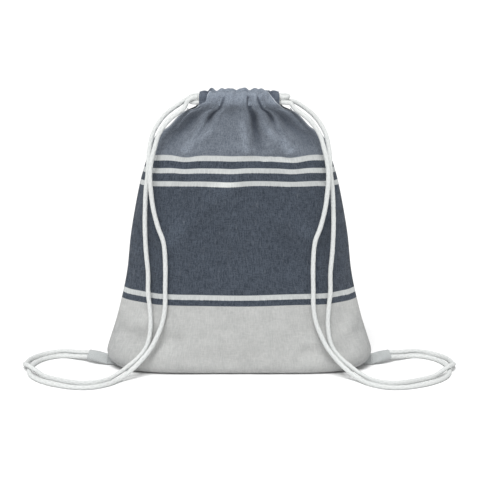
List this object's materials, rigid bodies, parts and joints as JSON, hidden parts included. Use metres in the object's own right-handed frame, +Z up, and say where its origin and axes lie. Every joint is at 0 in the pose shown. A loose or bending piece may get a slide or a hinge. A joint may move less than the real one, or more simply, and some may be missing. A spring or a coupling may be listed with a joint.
{
  "type": "drawstring backpack",
  "caption": "Soft woven cotton drawstring bag with a gathered mouth, a corded casing, side tabs and long cords that serve as shoulder straps",
  "frame": {"origin": "centre of the bottom of the bag without its free cords, on the surface it stands on", "axes": "X across the bag with left at -X, front towards -Y, Z up"},
  "size_m": [0.5697, 0.1446, 0.3659],
  "materials": {
    "striped_cotton": "blue-grey melange cotton weave with woven white stripes and a light grey lower band",
    "grey_cotton": "light grey cotton tape",
    "cord_cotton": "soft off-white knitted cotton cord",
    "sewing_thread": "matt sewing thread"
  },
  "bodies": {
    "bag": {"front_panel": "striped_cotton", "back_panel": "striped_cotton", "front_casing": "striped_cotton", "back_casing": "striped_cotton", "front_casing_stitching": "sewing_thread", "back_casing_stitching": "sewing_thread", "bottom_seam": "sewing_thread", "left_side_seam": "sewing_thread", "right_side_seam": "sewing_thread", "left_tab": "grey_cotton", "right_tab": "grey_cotton", "left_tab_bartack": "sewing_thread", "right_tab_bartack": "sewing_thread", "left_slit_bartack": "sewing_thread", "right_slit_bartack": "sewing_thread", "left_cord_front_strand": "cord_cotton", "left_cord_back_strand": "cord_cotton", "right_cord_front_strand": "cord_cotton", "right_cord_back_strand": "cord_cotton"},
    "left_drawcord": {"left_drawcord_run": "cord_cotton"},
    "right_drawcord": {"right_drawcord_run": "cord_cotton"}
  },
  "joints": [
    {"name": "left_drawcord_pull", "type": "slide", "parent": "bag", "child": "left_drawcord", "axis": [-1, 0, 0], "range_m": [0, 0.006], "deforming": ["left_cord_front_strand", "left_cord_back_strand"]},
    {"name": "right_drawcord_pull", "type": "slide", "parent": "bag", "child": "right_drawcord", "axis": [1, 0, 0], "range_m": [0, 0.006], "deforming": ["right_cord_front_strand", "right_cord_back_strand"]}
  ]
}
